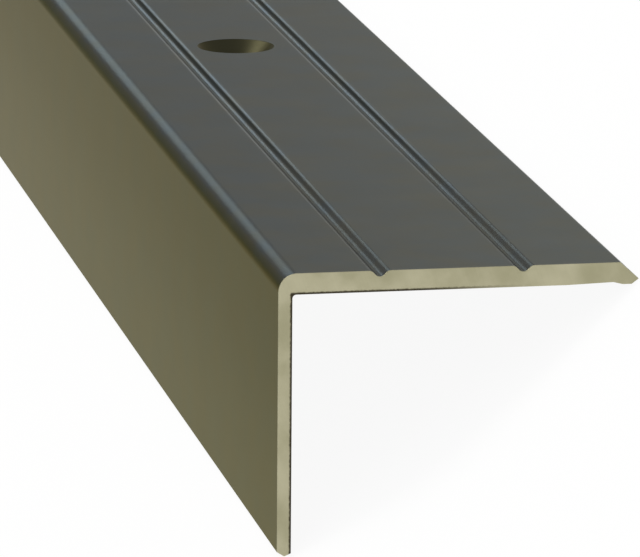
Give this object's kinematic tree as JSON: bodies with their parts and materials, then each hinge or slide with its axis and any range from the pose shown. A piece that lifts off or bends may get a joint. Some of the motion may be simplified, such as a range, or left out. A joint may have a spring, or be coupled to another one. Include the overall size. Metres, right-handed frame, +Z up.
{
  "type": "stair nose",
  "caption": "Dark anodised aluminium stair nose: an extruded angle with a grooved tread, a rounded nose, a bevelled back edge and countersunk screw holes.",
  "frame": {"origin": "on the floor under the middle of the stock's box, as it rests unheld on its two free edges", "axes": "+Y along the stock, away from the end that the picture shows; +Z up; the tread leg slopes down to +X and the riser leg to -X"},
  "size_m": [0.047, 1, 0.0237],
  "materials": {
    "anodised_aluminium": "dark bronze-grey satin anodising, bare metal on the two sawn ends"
  },
  "bodies": {
    "root": {"stair_nose": "anodised_aluminium"}
  },
  "joints": []
}
